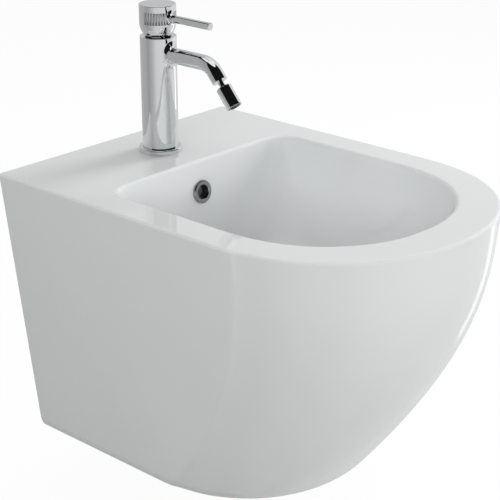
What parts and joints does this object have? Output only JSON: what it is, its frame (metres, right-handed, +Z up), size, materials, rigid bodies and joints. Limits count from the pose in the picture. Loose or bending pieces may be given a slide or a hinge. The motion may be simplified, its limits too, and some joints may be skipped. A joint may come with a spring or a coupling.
{
  "type": "wall-hung bidet",
  "caption": "Wall-hung bidet with a D-shaped tapered ceramic body, overflow, click waste and a single-lever mixer with a swivel outlet.",
  "frame": {"origin": "midway between the two wall-stud holes, on the wall plane", "axes": "+X to the right seen from the front, +Y into the wall, +Z up; the front faces -Y"},
  "size_m": [0.3592, 0.4965, 0.5046],
  "materials": {
    "glaze": "gloss white glaze",
    "chrome": "polished chrome plating on brass",
    "brass": "machined",
    "steel": "plain stainless",
    "rubber": "matt black",
    "white_plastic": "satin moulded",
    "dark_plastic": "satin moulded",
    "disc_ceramic": "lapped"
  },
  "bodies": {
    "bidet": {"basin": "glaze", "fixing_sleeves": "white_plastic", "fixing_washers": "steel", "overflow_ring": "chrome", "waste_body": "chrome", "waste_seal": "rubber", "waste_guide": "brass", "waste_gasket": "rubber", "waste_washer": "white_plastic", "waste_nut": "brass", "click_capsule": "brass", "click_spring": "steel", "tap_base_ring": "chrome", "base_gasket": "rubber", "tap_body": "chrome", "tap_stud": "steel", "horseshoe_gasket": "rubber", "horseshoe_washer": "steel", "stud_nut": "brass", "cartridge_housing": "dark_plastic", "fixed_disc": "disc_ceramic", "cartridge_nut": "brass", "ball_stem": "chrome"},
    "plug": {"waste_plug": "chrome", "plug_stem": "brass", "plug_seal": "rubber"},
    "rotor": {"cartridge_rotor": "white_plastic", "pivot_pin": "steel"},
    "discs": {"moving_disc": "disc_ceramic", "disc_carrier": "white_plastic"},
    "handle": {"lever_handle": "chrome", "spindle": "brass", "handle_grub_screw": "steel"},
    "swivel_ring": {"swivel_seal": "rubber"},
    "aerator": {"swivel_cap": "chrome", "aerator_housing": "chrome", "aerator_gasket": "rubber", "aerator_insert": "dark_plastic"}
  },
  "joints": [
    {"name": "temperature_swing", "type": "hinge", "parent": "bidet", "child": "rotor", "pos_m": [0, -0.0703, 0.2295], "axis": [0, 0, 1], "range_deg": [-45, 45]},
    {"name": "lever_lift", "type": "hinge", "parent": "rotor", "child": "handle", "pos_m": [0, -0.0703, 0.2295], "axis": [-1, 0, 0], "range_deg": [0, 18]},
    {"name": "disc_shift", "type": "slide", "parent": "rotor", "child": "discs", "axis": [0, -1, 0], "range_m": [0, 0.00804]},
    {"name": "swivel_spin", "type": "hinge", "parent": "bidet", "child": "swivel_ring", "pos_m": [0, -0.17461, 0.16756], "axis": [0, -0.6521, -0.7581], "continuous": true},
    {"name": "swivel_tilt", "type": "hinge", "parent": "swivel_ring", "child": "aerator", "pos_m": [0, -0.17461, 0.16756], "axis": [1, 0, 0], "range_deg": [-15, 15]},
    {"name": "plug_lift", "type": "slide", "parent": "bidet", "child": "plug", "axis": [0, 0, 1], "range_m": [0, 0.008], "deforming": ["click_spring"]}
  ],
  "couplings": [
    {"joint": "disc_shift", "follows": "lever_lift", "m_per_rad": 0.025279}
  ]
}
